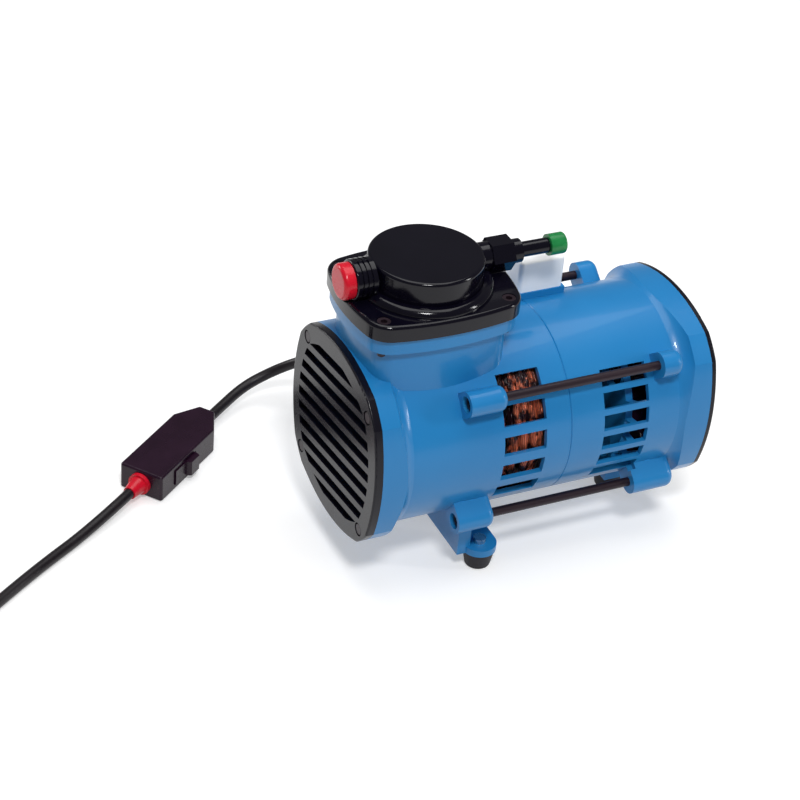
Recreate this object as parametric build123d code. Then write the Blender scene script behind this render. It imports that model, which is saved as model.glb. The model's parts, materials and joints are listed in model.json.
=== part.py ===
"""Diaphragm vacuum pump: an oil-free lab pump, motor shaft lying along X.

The pump is drawn about its shaft axis, with x measured from the front cover's face towards
the motor's rear end. At the end everything is lifted onto its feet and centred in length.
"""
from build123d import *
from math import atan2, cos, degrees, pi, radians, sin, tan
import os

# ---- housing -------------------------------------------------------------------------
seam_station = 139.0       # joint between the two shells, from the front cover's face
rear_part_length = 105.6   # from the seam to the rear cover's face
seam_chamfer = 0.6
body_radius = 64.0
wall = 3.5
ground_clearance = 29.1    # under the round body
cover_thickness = 5.5      # front cover
rear_cover_thickness = 3.6
flange_length = 11.5
flare_length = 16.0        # from the flange down to the round body
flange_side_margin = 2.0   # crown of each bulging side, out from the round body
flange_top_margin = 1.0
corner_side_inset = 9.2    # where neighbouring sides would meet, in from the body's radius
corner_top_inset = 13.6
corner_margin = 7.5        # corners are rounded off this far out from the body

# ---- end covers ----------------------------------------------------------------------
slot_count = 10
slot_pitch = 11.0
slot_height = 6.2
slot_slant = 8.0
slot_margin = 10.5
cover_screw_radius = 2.0
cover_screw_head = 3.6
cover_screw_margin = 0.2   # screw circle, out from the round body
cover_screw_length = 14.0
screw_pocket_radius = 4.6
screw_pocket_depth = 2.2

# ---- cooling windows -----------------------------------------------------------------
front_window_start = 91.0
front_window_length = 30.0
front_window_pitch = 18.4  # degrees round the body
front_window_opening = 12.0
front_window_count = 5
front_window_lowest = -27.6
rear_window_setback = 24.0 # from the seam
rear_window_length = 33.0
rear_window_pitch = 13.6
rear_window_opening = 9.8
rear_window_count = 6
rear_window_lowest = -30.0

# ---- tie bolts and their lugs --------------------------------------------------------
tie_bolt_radius = 3.0
tie_bolt_side_inset = 6.8  # bolt axis, in from the body's side
tie_bolt_top_inset = 18.2
lug_radius = 8.4
lug_round = 5.0            # free ends of the lugs
front_lug_start = 63.0
front_lug_length = 26.5
upper_lug_setback = 62.0   # from the seam
upper_rear_lug_length = 15.0
lower_lug_setback = 53.0
lower_rear_lug_length = 31.0
bolt_head_radius = 5.0
bolt_head_height = 6.0
counterbore_depth = 8.5
bolt_engagement = 12.0
bolt_socket = 5.0          # across flats
bolt_socket_depth = 3.0

# ---- feet ----------------------------------------------------------------------------
foot_inset = 15.5          # foot's axis, in from the body's side
front_foot_station = 89.0
rear_foot_setback = 75.0   # from the seam
pad_radius = 11.5
pad_thickness = 5.0
foot_rubber_height = 12.6
foot_top_radius = 10.8
foot_bottom_radius = 8.4
saddle_start = 71.5
saddle_thickness = 9.0
foot_screw_radius = 2.5
foot_screw_head = 4.2
foot_screw_head_height = 3.4
foot_screw_depth = 6.0
saddle_column_inset = 12.5 # the column stands this far inward of the foot's axis
saddle_column_width = 13.5

# ---- pump head -----------------------------------------------------------------------
head_station = 55.6        # crank, rod and head share this plane
head_half_length = 55.5    # along the shaft
head_half_width = 46.7
head_bulge = 6.0           # each side's crown stands this far out from its corners
head_corner_round = 17.0
rim_inset = 2.0            # neck's rim, drawn in from the head base
rim_height = 10.5
neck_inset = 6.2
neck_height = 28.8         # from the top of the body to the seat of the diaphragm
neck_bore = 35.5
head_base_thickness = 10.9
head_base_edge = 2.5
dome_rise = 4.8            # convex ring round the cover
dome_top_radius = 38.6
dome_foot_radius = 44.0
diaphragm_radius = 41.0
diaphragm_thickness = 2.4
diaphragm_clearance = 0.1
pump_chamber_radius = 31.0
pump_chamber_height = 2.8
valve_plate_radius = 36.4
valve_plate_thickness = 3.0
gasket_height = 1.2
gasket_width = 4.6
head_cover_radius = 36.7
head_cover_clearance = 0.3
head_cover_round = 2.2
plenum_radius = 29.5
plenum_wall = 3.0
roof_thickness = 4.0
head_screw_x = 42.5        # from the head's centre
head_screw_y = 33.5
head_screw_radius = 2.5
head_screw_head = 4.3
head_screw_head_height = 4.5
head_screw_sink = 5.0      # heads sit this far below the base's top
head_screw_length = 20.0
thread_fit = 0.02
hole_fit = 0.2

# ---- valves --------------------------------------------------------------------------
inlet_hole_offset = 25.0   # from the head's centre
outlet_hole_offset = 20.0
valve_hole = 2.6
reed_length = 10.0
reed_width = 8.0
reed_thickness = 0.4
reed_gap = 0.02
rivet_radius = 0.8
rivet_head = 1.6
rivet_head_height = 0.7
rivet_inset = 2.0          # from the reed's root

# ---- ports ---------------------------------------------------------------------------
port_rise = 11.8           # port axis above the head cover's lower face
port_roof = 0.5            # head cover above the port bosses
port_boss_radius = 9.4
port_clearance = 0.3
inlet_boss_reach = 37.5    # from the head's centre
port_bore = 4.0
collar_radius = 13.0
collar_length = 13.6
collar_groove_count = 3
collar_groove_pitch = 3.2
collar_groove_width = 1.3
collar_groove_depth = 0.9
spigot_radius = 8.0
spigot_length = 6.0
red_cap_radius = 11.6
red_cap_round = 2.8
cap_fit = 0.06
cap_roof = 2.0
cap_stand_off = 0.2        # between a pushed-on cap and the shoulder behind it
outlet_boss_reach = 42.6
outlet_hex = 20.0          # across flats
outlet_hex_length = 15.4
outlet_ring_radius = 7.8
outlet_ring_length = 7.0
nozzle_radius = 5.0
nozzle_bore = 3.0
nozzle_length = 20.0       # the stretch that a hose grips
nozzle_tip_radius = 4.6    # turned down where the cap sits
nozzle_tip_length = 10.0
green_cap_radius = 7.0
green_cap_length = 11.5
green_cap_round = 1.4

# ---- crank drive ---------------------------------------------------------------------
eccentricity = 2.5         # half of the stroke
shaft_radius = 6.0
shaft_front = 62.2
shaft_rear_setback = 87.0  # from the seam
bearing_outer = 16.0
bearing_width = 10.0
bearing_race = 2.6
shield_recess = 0.6
running_fit = 0.04
stud_fit = 0.05
seat_gap = 0.02
front_bearing_station = 76.0
rear_bearing_setback = 48.0
web_thickness = 5.0
hub_wall = 4.0
crank_hub_radius = 13.0
crank_hub_start = 61.0
crank_hub_end = 70.5
crank_pin_radius = 5.0
rod_bearing_outer = 13.0
rod_bearing_width = 8.0
rod_eye_radius = 18.0
rod_width = 10.0
rod_shank_width = 16.0
rod_table_radius = 17.5
rod_table_thickness = 5.0
rod_flange = 3.0
rod_pocket_depth = 3.5
clamp_plate_radius = 18.0
clamp_plate_thickness = 2.0
clamp_stud_radius = 3.0
clamp_stud_length = 9.0    # into the rod
clamp_head_radius = 4.8
clamp_head_height = 1.5
counterweight_radius = 34.0
counterweight_thickness = 7.0
counterweight_drop = 6.0   # its flat edge below the shaft axis

# ---- motor ---------------------------------------------------------------------------
core_lead = 17.0           # core starts this far before the seam
core_length = 26.0
core_bore = 30.5
air_gap = 0.5
winding_inner = 35.0
winding_wall_gap = 5.0
front_winding_length = 25.0
rear_winding_length = 15.0
coil_lobes = 12
coil_notch_width = 3.0
coil_notch_depth = 4.0
end_ring_length = 6.0
end_ring_radius = 26.0
fan_setback = 64.0         # from the seam
fan_length = 17.0
fan_tip_gap = 6.5
fan_hub_radius = 14.0
fan_blades = 7
fan_blade_thickness = 2.2
fan_blade_twist = 38.0

# ---- capacitor on top ----------------------------------------------------------------
capacitor_lead = 3.0       # starts this far before the seam
capacitor_length = 33.0
capacitor_width = 25.0
capacitor_height = 23.0
capacitor_side = 32.5      # its middle, on the far side of the top
tray_lift = 2.0            # tray's top above the body's top
tray_overhang = 1.0
tray_sheet = 1.6

# ---- supply cord ---------------------------------------------------------------------
cord_diameter = 7.5
gland_station = 58.0
gland_height = -30.0
gland_margin = 2.0         # seat of the gland, out from the body's side
gland_boss_radius = 10.5
gland_flange_radius = 9.5
gland_flange_thickness = 4.0
gland_length = 20.0
switch_length = 86.0
switch_width = 33.0
switch_height = 20.0
switch_nose_length = 18.0  # narrows towards the pump
switch_nose_width = 12.0
switch_corner_round = 2.0
switch_edge = 1.6
rocker_length = 26.0
rocker_thickness = 9.0
rocker_stand_out = 4.5
rocker_lip = 1.0           # the flat pad stands out of the switch by this
rocker_end_gap = 1.0
rocker_back_room = 2.4
rocker_wall = 4.0          # of the switch above and below the rocker
rocker_gap = 0.4
rocker_offset = -13.0      # from the switch's middle towards the pump
rocker_axle = 1.5
relief_grip = 6.0          # inside the switch
relief_flange = 3.0
relief_length = 20.0
relief_radius = 7.8
relief_neck_radius = 6.4
cord_lead = 16.0           # cord leaves and meets the switch straight over this length
coil_centre = (-285.0, 21.0)
coil_turn_radius = 41.0    # at the middle of the turns
coil_thickness = 17.0
coil_height = 24.0
coil_round = 5.0
tie_sheet = 1.4
tie_room = 0.3
tie_width = 6.0
plug_stand_off = 34.0      # from the coil's middle to the plug's cable end, along the cord
plug_length = 46.0
plug_radius = 13.0
plug_taper = 20.0
plug_pin_radius = 2.4
plug_pin_length = 19.0
plug_pin_pitch = 19.0

body_length = seam_station + rear_part_length
shaft_height = body_radius + ground_clearance
flange_half_width = body_radius + flange_side_margin
flange_half_height = body_radius + flange_top_margin
corner_half_width = body_radius - corner_side_inset
corner_half_height = body_radius - corner_top_inset
corner_reach = body_radius + corner_margin
cover_screw_pitch_radius = body_radius + cover_screw_margin
rear_window_start = seam_station + rear_window_setback
tie_bolt_side = body_radius - tie_bolt_side_inset
tie_bolt_rise = body_radius - tie_bolt_top_inset
upper_rear_lug_start = seam_station + upper_lug_setback
lower_rear_lug_start = seam_station + lower_lug_setback
foot_side = body_radius - foot_inset
rear_foot_station = seam_station + rear_foot_setback
head_seat = body_radius + neck_height
shaft_rear = seam_station + shaft_rear_setback
rear_bearing_station = seam_station + rear_bearing_setback
core_start = seam_station - core_lead
core_end = core_start + core_length
front_winding_start = core_start - front_winding_length
rear_winding_end = core_end + rear_winding_length
fan_start = seam_station + fan_setback
capacitor_start = seam_station - capacitor_lead
tray_height = body_radius + tray_lift
gland_seat = body_radius + gland_margin
gland_end = gland_seat + gland_length
floor = -shaft_height
cord_rest = floor + cord_diameter / 2 + 0.1
switch_middle = floor + switch_height / 2
rear_flange_start = body_length - rear_cover_thickness - flange_length
cavity_radius = body_radius - wall
winding_outer = cavity_radius - winding_wall_gap
fan_radius = cavity_radius - fan_tip_gap
head_base_top = head_seat + head_base_thickness
head_screw_seat = head_base_top - head_screw_sink
chamber_floor = head_seat + diaphragm_thickness
valve_plate_base = chamber_floor + pump_chamber_height
valve_plate_top = valve_plate_base + valve_plate_thickness
cover_bottom = valve_plate_top + gasket_height
port_height = cover_bottom + port_rise
head_cover_top = port_height + port_boss_radius + port_roof
pad_bottom = floor + foot_rubber_height
pad_top = pad_bottom + pad_thickness
lug_angle = degrees(atan2(tie_bolt_rise, tie_bolt_side))
lug_reach = (tie_bolt_side ** 2 + tie_bolt_rise ** 2) ** 0.5
corner_angle = degrees(atan2(corner_half_height, corner_half_width))
front_lug_end = front_lug_start + front_lug_length
collar_start = head_station - inlet_boss_reach - collar_length
inlet_tip = collar_start - spigot_length
red_cap_face = inlet_tip - cap_roof
red_cap_length = cap_roof + spigot_length - cap_stand_off
coil_base = floor + tie_sheet + 2 * tie_room
middle_station = (min(red_cap_face, 0) + body_length) / 2
place = Location((-middle_station, 0, shaft_height))

parts = {}


def keep(name, shape):
    parts[name] = shape


# ---- plain helpers -------------------------------------------------------------------
def bar_x(radius, start, end, y=0, z=0):
    """Round bar along X between two stations."""
    return Pos(start, y, z) * Rot(0, 90, 0) * Cylinder(radius, end - start, align=FROM_BASE)


def bar_z(radius, bottom, top, x=0, y=0):
    return Pos(x, y, bottom) * Cylinder(radius, top - bottom, align=FROM_BASE)


def box_between(low, high):
    size = [b - a for a, b in zip(low, high)]
    middle = [(a + b) / 2 for a, b in zip(low, high)]
    return Pos(*middle) * Box(*size)


def across(face, start, end):
    """Extrude a face drawn in (sideways, up) between two stations."""
    return extrude(Plane.YZ.offset(start) * face, end - start)


def upright(face, bottom, top):
    return extrude(Plane.XY.offset(bottom) * face, top - bottom)


def bulging_square(half_u, half_v, corner_u, corner_v):
    """Four shallow arcs that meet in corners."""
    corners = [(corner_u, corner_v), (corner_u, -corner_v), (-corner_u, -corner_v), (-corner_u, corner_v)]
    crowns = [(half_u, 0), (0, -half_v), (-half_u, 0), (0, half_v)]
    sides = [
        ThreePointArc(corners[i], crowns[i], corners[(i + 1) % 4])
        for i in range(4)
    ]
    return make_face(sides)


def hexagon_x(across_flats, start, end, z):
    face = RegularPolygon(across_flats / 2, 6, major_radius=False)
    return across(Pos(0, z) * face, start, end)


FROM_BASE = (Align.CENTER, Align.CENTER, Align.MIN)
sides = (-1, 1)
corner_signs = [(y, z) for y in sides for z in sides]


# ---- covers --------------------------------------------------------------------------
def flange_outline():
    whole = bulging_square(flange_half_width, flange_half_height, corner_half_width, corner_half_height)
    return whole & Circle(corner_reach)


def slot_field():
    return bulging_square(
        flange_half_width - slot_margin,
        flange_half_height - slot_margin,
        corner_half_width - slot_margin,
        corner_half_height - slot_margin,
    )


def screw_places():
    y = cover_screw_pitch_radius * cos(radians(corner_angle))
    z = cover_screw_pitch_radius * sin(radians(corner_angle))
    return [(sy * y, sz * z) for sy, sz in corner_signs]


def slotted_cover(start, thickness, outer_end):
    """End cover with slanting slots that stop at a rounded square."""
    end = start + thickness
    plate = across(flange_outline(), start, end)
    rim = plate.faces().sort_by(Axis.X)[0 if outer_end == start else -1].edges()
    plate = fillet(rim, 1.2)
    bars = [
        Rot(0, 0, -slot_slant) * Pos(0, (i - (slot_count - 1) / 2) * slot_pitch) * Rectangle(200, slot_height)
        for i in range(slot_count)
    ]
    slots = slot_field() & Sketch(children=bars)
    plate -= across(slots, start - 1, end + 1)
    for y, z in screw_places():
        plate -= bar_x(cover_screw_radius + 0.2, start - 1, end + 1, y, z)
        if outer_end == start:
            plate -= bar_x(screw_pocket_radius, start - 1, start + screw_pocket_depth, y, z)
        else:
            plate -= bar_x(screw_pocket_radius, end - screw_pocket_depth, end + 1, y, z)
    return plate


def make_covers():
    keep("front_cover", slotted_cover(0, cover_thickness, 0))
    rear_start = body_length - rear_cover_thickness
    keep("rear_cover", slotted_cover(rear_start, rear_cover_thickness, body_length))
    front = Part()
    rear = Part()
    rear_seat = body_length - screw_pocket_depth
    for y, z in screw_places():
        front += bar_x(cover_screw_head, 0.3, screw_pocket_depth, y, z)
        front += bar_x(cover_screw_radius, screw_pocket_depth, cover_screw_length, y, z)
        rear += bar_x(cover_screw_head, rear_seat, body_length - 0.3, y, z)
        rear += bar_x(cover_screw_radius, body_length - cover_screw_length, rear_seat, y, z)
    keep("front_cover_screws", front)
    keep("rear_cover_screws", rear)


# ---- shells --------------------------------------------------------------------------
def end_flare(flange_end, towards):
    """The flange's corners sweeping down onto the round body in a hollow curve."""
    rise = corner_reach - body_radius
    far_end = flange_end + towards * flare_length
    arc = ThreePointArc(
        (flange_end, corner_reach + 4),
        (flange_end + towards * flare_length * 0.32, body_radius + rise * 0.34),
        (far_end, body_radius),
    )
    section = make_face([
        arc,
        Line((far_end, body_radius), (far_end, 0)),
        Line((far_end, 0), (flange_end, 0)),
        Line((flange_end, 0), (flange_end, corner_reach + 4)),
    ])
    horn = revolve(Plane.XZ * section, Axis.X)
    low, high = sorted((flange_end, far_end))
    return horn & across(flange_outline(), low, high)


def windows(start, length, lowest, pitch, opening, count):
    """Rows of cooling windows on both flanks, each cut radially."""
    width = 2 * body_radius * sin(radians(opening / 2))
    cuts = Part()
    for row in range(count):
        angle = lowest + row * pitch
        pane = box_between((start, body_radius - 3 * wall, -width / 2), (start + length, body_radius + 4, width / 2))
        cuts += Rot(angle, 0, 0) * pane
        cuts += Rot(180 - angle, 0, 0) * pane
    return cuts


def lug(start, length, sign_y, sign_z):
    """Ear that carries a tie bolt, on a web down to the body, rounded at its rear end."""
    web_height = lug_reach - cavity_radius + wall
    section = Pos(lug_reach, 0) * Circle(lug_radius)
    section += Pos(lug_reach - web_height / 2, 0) * Rectangle(web_height, 2 * lug_radius)
    ear = across(section, start, start + length)
    ear = fillet(ear.faces().sort_by(Axis.X)[-1].edges(), lug_round)
    turn = lug_angle * sign_z if sign_y > 0 else 180 - lug_angle * sign_z
    return Rot(turn, 0, 0) * ear


def foot_pad(station, y, inward):
    pad = bar_z(pad_radius, pad_bottom, pad_top, station, y)
    if inward:
        edge = y - (pad_radius + 1) * (1 if y > 0 else -1)
        low, high = sorted((y, edge))
        pad += box_between((station - pad_radius, low, pad_bottom), (station + pad_radius, high, pad_top))
    return pad


def front_feet_frame():
    """Saddle web below the body, a column down to each pad, and the two pads."""
    outer = foot_side + 3
    web = make_face(Polyline(
        (-outer, pad_bottom),
        (-outer, -tie_bolt_rise),
        (outer, -tie_bolt_rise),
        (outer, pad_bottom),
        close=True,
    ))
    frame = across(web, saddle_start, saddle_start + saddle_thickness)
    for side in sides:
        inner = foot_side - saddle_column_inset - saddle_column_width
        column_low, column_high = sorted((side * inner, side * (foot_side - saddle_column_inset)))
        column_end = front_foot_station + pad_radius - 2
        frame += box_between((saddle_start, column_low, pad_bottom), (column_end, column_high, -tie_bolt_rise))
        frame += foot_pad(front_foot_station, side * foot_side, True)
    return frame


def head_outline(inset):
    """Bulging rounded rectangle of the head, drawn in by the inset."""
    length = head_half_length - inset
    width = head_half_width - inset
    outline = bulging_square(length, width, length - head_bulge, width - head_bulge)
    return fillet(outline.vertices(), head_corner_round - inset / 2)


def neck():
    """Rounded tower with a thicker rim, between the crankcase and the pump head."""
    body = upright(head_outline(neck_inset), body_radius / 2, head_seat - rim_height)
    body += upright(head_outline(rim_inset), head_seat - rim_height, head_seat)
    return Pos(head_station, 0, 0) * body


def bearing_web(station, bore):
    """Wall across the shell with a hub for a bearing and four air ports."""
    start = station - bearing_width / 2
    end = station + bearing_width / 2
    web = bar_x(cavity_radius + 1, station - web_thickness / 2, station + web_thickness / 2)
    web += bar_x(bore + hub_wall, start, end)
    web -= bar_x(bore, start - 1, end + 1)
    for quarter in range(4):
        port = bar_x(13, start, end, (bore + hub_wall + cavity_radius) / 2, 0)
        web -= Rot(45 + 90 * quarter, 0, 0) * port
    return web


def tie_bolt_holes(start, end, radius, upper=True, lower=True):
    holes = Part()
    for sy, sz in corner_signs:
        if (sz > 0 and upper) or (sz < 0 and lower):
            holes += bar_x(radius, start, end, sy * tie_bolt_side, sz * tie_bolt_rise)
    return holes


def make_front_shell():
    flange_start = cover_thickness
    flange_end = flange_start + flange_length
    shell = bar_x(body_radius, flange_start, seam_station)
    shell = chamfer(shell.edges().sort_by(Axis.X)[-1], seam_chamfer)
    shell += across(flange_outline(), flange_start, flange_end)
    shell += end_flare(flange_end, 1)
    shell += neck()
    shell += front_feet_frame()
    for sy, sz in corner_signs:
        shell += lug(front_lug_start, front_lug_length, sy, sz)
    boss_length = gland_seat - cavity_radius / 2
    boss = Rot(-90, 0, 0) * Cylinder(gland_boss_radius, boss_length, align=FROM_BASE)
    shell += Pos(gland_station, cavity_radius / 2, gland_height) * boss
    shell -= bar_x(cavity_radius, flange_start - 1, seam_station + 1)
    shell -= bar_z(neck_bore, 20, head_seat + 1, head_station)
    shell += bearing_web(front_bearing_station, bearing_outer + seat_gap)
    shell -= windows(front_window_start, front_window_length, front_window_lowest,
                     front_window_pitch, front_window_opening, front_window_count)
    shell -= tie_bolt_holes(front_lug_start - 1, front_lug_end + 1, tie_bolt_radius + 0.2)
    shell -= tie_bolt_holes(front_lug_start - 1, front_lug_start + counterbore_depth, bolt_head_radius + 0.4)
    for y, z in screw_places():
        shell -= bar_x(cover_screw_radius + 0.02, 0, cover_screw_length + 1, y, z)
    for x, y in head_screw_places():
        shell -= bar_z(head_screw_radius + thread_fit, head_screw_seat - head_screw_length - 1, head_seat + 1, x, y)
    for side in sides:
        shell -= bar_z(foot_screw_radius + 0.1, pad_bottom - 1, pad_top + 1, front_foot_station, side * foot_side)
    keep("front_shell", shell)


def make_rear_shell():
    flange_end = rear_flange_start + flange_length
    shell = bar_x(body_radius, seam_station, flange_end)
    shell = chamfer(shell.edges().sort_by(Axis.X)[0], seam_chamfer)
    shell += across(flange_outline(), rear_flange_start, flange_end)
    shell += end_flare(rear_flange_start, -1)
    for side in sides:
        shell += lug(upper_rear_lug_start, upper_rear_lug_length, side, 1)
        shell += lug(lower_rear_lug_start, lower_rear_lug_length, side, -1)
    shell += box_between((rear_foot_station - 10, -12, pad_bottom), (rear_foot_station + 10, 12, -cavity_radius))
    shell += foot_pad(rear_foot_station, 0, False)
    shell -= bar_x(cavity_radius, seam_station - 1, flange_end + 1)
    shell += bearing_web(rear_bearing_station, bearing_outer + seat_gap)
    shell -= windows(rear_window_start, rear_window_length, rear_window_lowest,
                     rear_window_pitch, rear_window_opening, rear_window_count)
    shell -= tie_bolt_holes(upper_rear_lug_start - 1, upper_rear_lug_start + bolt_engagement,
                            tie_bolt_radius + 0.02, lower=False)
    shell -= tie_bolt_holes(lower_rear_lug_start - 1, lower_rear_lug_start + bolt_engagement,
                            tie_bolt_radius + 0.02, upper=False)
    for y, z in screw_places():
        shell -= bar_x(cover_screw_radius + 0.02, body_length - cover_screw_length - 1, body_length, y, z)
    shell -= bar_z(foot_screw_radius + 0.1, pad_bottom - 1, pad_bottom + foot_screw_depth, rear_foot_station)
    keep("rear_shell", shell)


def make_tie_bolts():
    bolts = Part()
    seat = front_lug_start + counterbore_depth
    for sy, sz in corner_signs:
        y = sy * tie_bolt_side
        z = sz * tie_bolt_rise
        start = upper_rear_lug_start if sz > 0 else lower_rear_lug_start
        head = bar_x(bolt_head_radius, seat - bolt_head_height, seat, y, z)
        head -= hexagon_socket(seat - bolt_head_height, bolt_socket, bolt_socket_depth, y, z)
        bolts += head + bar_x(tie_bolt_radius, seat, start + bolt_engagement - 1, y, z)
    keep("tie_bolts", bolts)


def hexagon_socket(start, across_flats, depth, y, z):
    face = RegularPolygon(across_flats / 2, 6, major_radius=False)
    return across(Pos(y, z) * face, start - 0.01, start + depth)


def make_feet():
    places = {
        "foot_front_near": (front_foot_station, -foot_side),
        "foot_front_far": (front_foot_station, foot_side),
        "foot_rear": (rear_foot_station, 0),
    }
    screws = Part()
    for name, (x, y) in places.items():
        rubber = Pos(x, y, floor) * Cone(foot_bottom_radius, foot_top_radius, foot_rubber_height, align=FROM_BASE)
        rubber = fillet(rubber.edges().sort_by(Axis.Z)[0], 1.5)
        rubber -= bar_z(foot_screw_radius + 0.1, pad_bottom - foot_screw_depth, pad_bottom + 1, x, y)
        keep(name, rubber)
        if name == "foot_rear":
            screws += bar_z(foot_screw_radius, pad_bottom - foot_screw_depth + 1, pad_bottom + foot_screw_depth - 1, x, y)
        else:
            screws += bar_z(foot_screw_radius, pad_bottom - foot_screw_depth + 1, pad_top, x, y)
            screws += bar_z(foot_screw_head, pad_top, pad_top + foot_screw_head_height, x, y)
    keep("foot_screws", screws)


# ---- pump head -----------------------------------------------------------------------
def head_screw_places():
    return [(head_station + sx * head_screw_x, sy * head_screw_y) for sx in sides for sy in sides]


def port_room():
    """Room for the two port bosses and their fittings, cut into the head base."""
    low = head_station - head_half_length - 4
    high = head_station + head_half_length + 4
    hex_corner = outlet_hex / 2 / cos(pi / 6)
    room = bar_x(port_boss_radius + port_clearance, low, high, 0, port_height)
    collar_end = head_station - inlet_boss_reach + port_clearance
    room += bar_x(collar_radius + port_clearance, low, collar_end, 0, port_height)
    hex_start = head_station + outlet_boss_reach - port_clearance
    return room + bar_x(hex_corner + port_clearance, hex_start, high, 0, port_height)


def dome():
    """Convex ring that rises from the flat base to the cover."""
    top = head_base_top + dome_rise
    crown = (dome_top_radius + (dome_foot_radius - dome_top_radius) * 0.75, head_base_top + dome_rise * 0.66)
    section = make_face([
        Line((0, head_base_top), (0, top)),
        Line((0, top), (dome_top_radius, top)),
        ThreePointArc((dome_top_radius, top), crown, (dome_foot_radius, head_base_top)),
        Line((dome_foot_radius, head_base_top), (0, head_base_top)),
    ])
    return revolve(Plane.XZ * section, Axis.Z)


def make_head():
    base = upright(head_outline(0), head_seat, head_base_top)
    base = fillet(base.edges().group_by(Axis.Z)[-1], head_base_edge)
    base = Pos(head_station, 0, 0) * (base + dome())
    base -= bar_z(diaphragm_radius + diaphragm_clearance, head_seat - 1, chamber_floor, head_station)
    base -= bar_z(pump_chamber_radius, head_seat - 1, valve_plate_base + 1, head_station)
    base -= bar_z(head_cover_radius + head_cover_clearance, valve_plate_base, head_cover_top, head_station)
    base -= port_room()
    for x, y in head_screw_places():
        base -= bar_z(head_screw_radius + hole_fit, head_seat - 1, head_base_top + 1, x, y)
        base -= bar_z(head_screw_head + hole_fit, head_screw_seat, head_base_top + 1, x, y)
    keep("head_base", base)

    screws = Part()
    for x, y in head_screw_places():
        head = bar_z(head_screw_head, head_screw_seat, head_screw_seat + head_screw_head_height, x, y)
        socket = Pos(x, y) * RegularPolygon(head_screw_radius * 0.8, 6, major_radius=False)
        head -= upright(socket, head_screw_seat + head_screw_head_height / 2, head_screw_seat + head_screw_head_height + 1)
        screws += head + bar_z(head_screw_radius, head_screw_seat - head_screw_length, head_screw_seat, x, y)
    keep("head_screws", screws)

    keep("diaphragm", diaphragm())
    make_valve_plate()
    make_head_cover()
    make_ports()


def diaphragm():
    """Rubber disc, flat at top dead centre, with a shallow rolling groove on top."""
    disc = bar_z(diaphragm_radius, head_seat, chamber_floor, head_station)
    groove_radius = (clamp_plate_radius + pump_chamber_radius) / 2
    disc -= Pos(head_station, 0, chamber_floor + diaphragm_thickness / 4) * Torus(groove_radius, diaphragm_thickness / 1.5)
    return disc - bar_z(clamp_stud_radius + stud_fit, head_seat - 1, chamber_floor + 1, head_station)


def make_valve_plate():
    plate = bar_z(valve_plate_radius, valve_plate_base, valve_plate_top, head_station)
    inlet_x = head_station - inlet_hole_offset
    outlet_x = head_station + outlet_hole_offset
    inlet_root = inlet_x - reed_length / 2
    outlet_root = outlet_x - reed_length / 2
    for x in (inlet_x, outlet_x):
        plate -= bar_z(valve_hole, valve_plate_base - 1, valve_plate_top + 1, x)
    inlet_rivet = inlet_root + rivet_inset
    outlet_rivet = outlet_root + rivet_inset
    for x in (inlet_rivet, outlet_rivet):
        plate -= bar_z(rivet_radius + thread_fit, valve_plate_base - 1, valve_plate_top + 1, x)
    below = valve_plate_base - reed_gap - reed_thickness
    above = valve_plate_top + reed_gap + reed_thickness
    rivets = bar_z(rivet_radius, below - reed_thickness, valve_plate_top, inlet_rivet)
    rivets += bar_z(rivet_head, below - reed_thickness - rivet_head_height, below - reed_thickness, inlet_rivet)
    rivets += bar_z(rivet_radius, valve_plate_base, above + reed_thickness, outlet_rivet)
    rivets += bar_z(rivet_head, above + reed_thickness, above + reed_thickness + rivet_head_height, outlet_rivet)
    keep("valve_plate", plate)
    keep("valve_rivets", rivets)
    keep("inlet_reed", reed(inlet_root, below, inlet_rivet))
    keep("outlet_reed", reed(outlet_root, valve_plate_top + reed_gap, outlet_rivet))


def reed(root, bottom, rivet):
    """Spring-steel flap with a round tip, held at its root."""
    half = reed_width / 2
    flap = box_between((root, -half, bottom), (root + reed_length - half, half, bottom + reed_thickness))
    flap += bar_z(half, bottom, bottom + reed_thickness, root + reed_length - half)
    return flap - bar_z(rivet_radius + 2 * hole_fit, bottom - 1, bottom + 1, rivet)


def make_head_cover():
    """Round cover with two gas rooms under it and a boss for each port."""
    cover = bar_z(head_cover_radius, cover_bottom, head_cover_top, head_station)
    cover = fillet(cover.edges().sort_by(Axis.Z)[-1], head_cover_round)
    near_end = head_station - inlet_boss_reach
    far_end = head_station + outlet_boss_reach
    cover += bar_x(port_boss_radius, near_end, far_end, 0, port_height)
    rooms = bar_z(plenum_radius, cover_bottom - 1, head_cover_top - roof_thickness, head_station)
    half = plenum_wall / 2
    divider = box_between((head_station - half, -plenum_radius - 1, 0),
                          (head_station + half, plenum_radius + 1, head_cover_top))
    cover -= rooms - divider
    cover -= bar_x(port_bore, near_end - 1, head_station - plenum_radius / 2, 0, port_height)
    cover -= bar_x(port_bore, head_station + plenum_radius / 2, far_end + 1, 0, port_height)
    keep("head_cover", cover)
    ring = bar_z(valve_plate_radius, valve_plate_top, cover_bottom, head_station)
    ring -= bar_z(valve_plate_radius - gasket_width, valve_plate_top - 1, cover_bottom + 1, head_station)
    keep("head_gasket", ring)


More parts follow.
